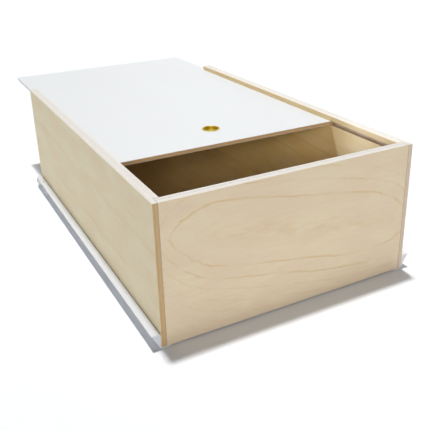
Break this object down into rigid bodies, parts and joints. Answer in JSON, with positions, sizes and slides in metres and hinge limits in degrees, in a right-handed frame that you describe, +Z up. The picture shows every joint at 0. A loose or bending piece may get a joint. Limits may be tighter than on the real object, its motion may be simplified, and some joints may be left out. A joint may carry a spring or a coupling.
{
  "type": "under bed box",
  "caption": "Low plywood storage box on drawer runners, with a thin white lid that slides out at the back in grooves and has a round recessed brass finger pull.",
  "frame": {"origin": "centre of the footprint of the whole box with the lid at rest, on the surface that it stands on", "axes": "+X to the right as seen from the front, +Y from the front panel to the back, the way the lid slides open, +Z up"},
  "size_m": [0.423, 0.791, 0.2018],
  "materials": {
    "birch_plywood": "clear-lacquered birch plywood, satin, with bare ply edges",
    "white_board": "matt white laminate on thin plywood, with a raw brown edge",
    "brass": "polished pressed brass",
    "white_steel": "white epoxy-coated pressed steel, semi-gloss",
    "nylon": "natural white moulded nylon",
    "zinc": "bright zinc plate"
  },
  "bodies": {
    "box": {"front_panel": "birch_plywood", "back_panel": "birch_plywood", "bottom_panel": "birch_plywood", "left_side_panel": "birch_plywood", "right_side_panel": "birch_plywood", "left_runner": "white_steel", "right_runner": "white_steel", "left_roller_pin": "zinc", "right_roller_pin": "zinc", "left_runner_screw_1": "zinc", "left_runner_screw_2": "zinc", "left_runner_screw_3": "zinc", "left_runner_screw_4": "zinc", "right_runner_screw_1": "zinc", "right_runner_screw_2": "zinc", "right_runner_screw_3": "zinc", "right_runner_screw_4": "zinc"},
    "lid": {"sliding_lid": "white_board", "finger_pull": "brass"},
    "left_wheel": {"left_roller": "nylon"},
    "right_wheel": {"right_roller": "nylon"}
  },
  "joints": [
    {"name": "lid_slide", "type": "slide", "parent": "box", "child": "lid", "axis": [0, 1, 0], "range_m": [-0.161, 0.401]},
    {"name": "left_roller_spin", "type": "hinge", "parent": "box", "child": "left_wheel", "pos_m": [-0.2056, 0.2305, 0.0117], "axis": [1, 0, 0], "continuous": true},
    {"name": "right_roller_spin", "type": "hinge", "parent": "box", "child": "right_wheel", "pos_m": [0.2056, 0.2305, 0.0117], "axis": [1, 0, 0], "continuous": true}
  ]
}
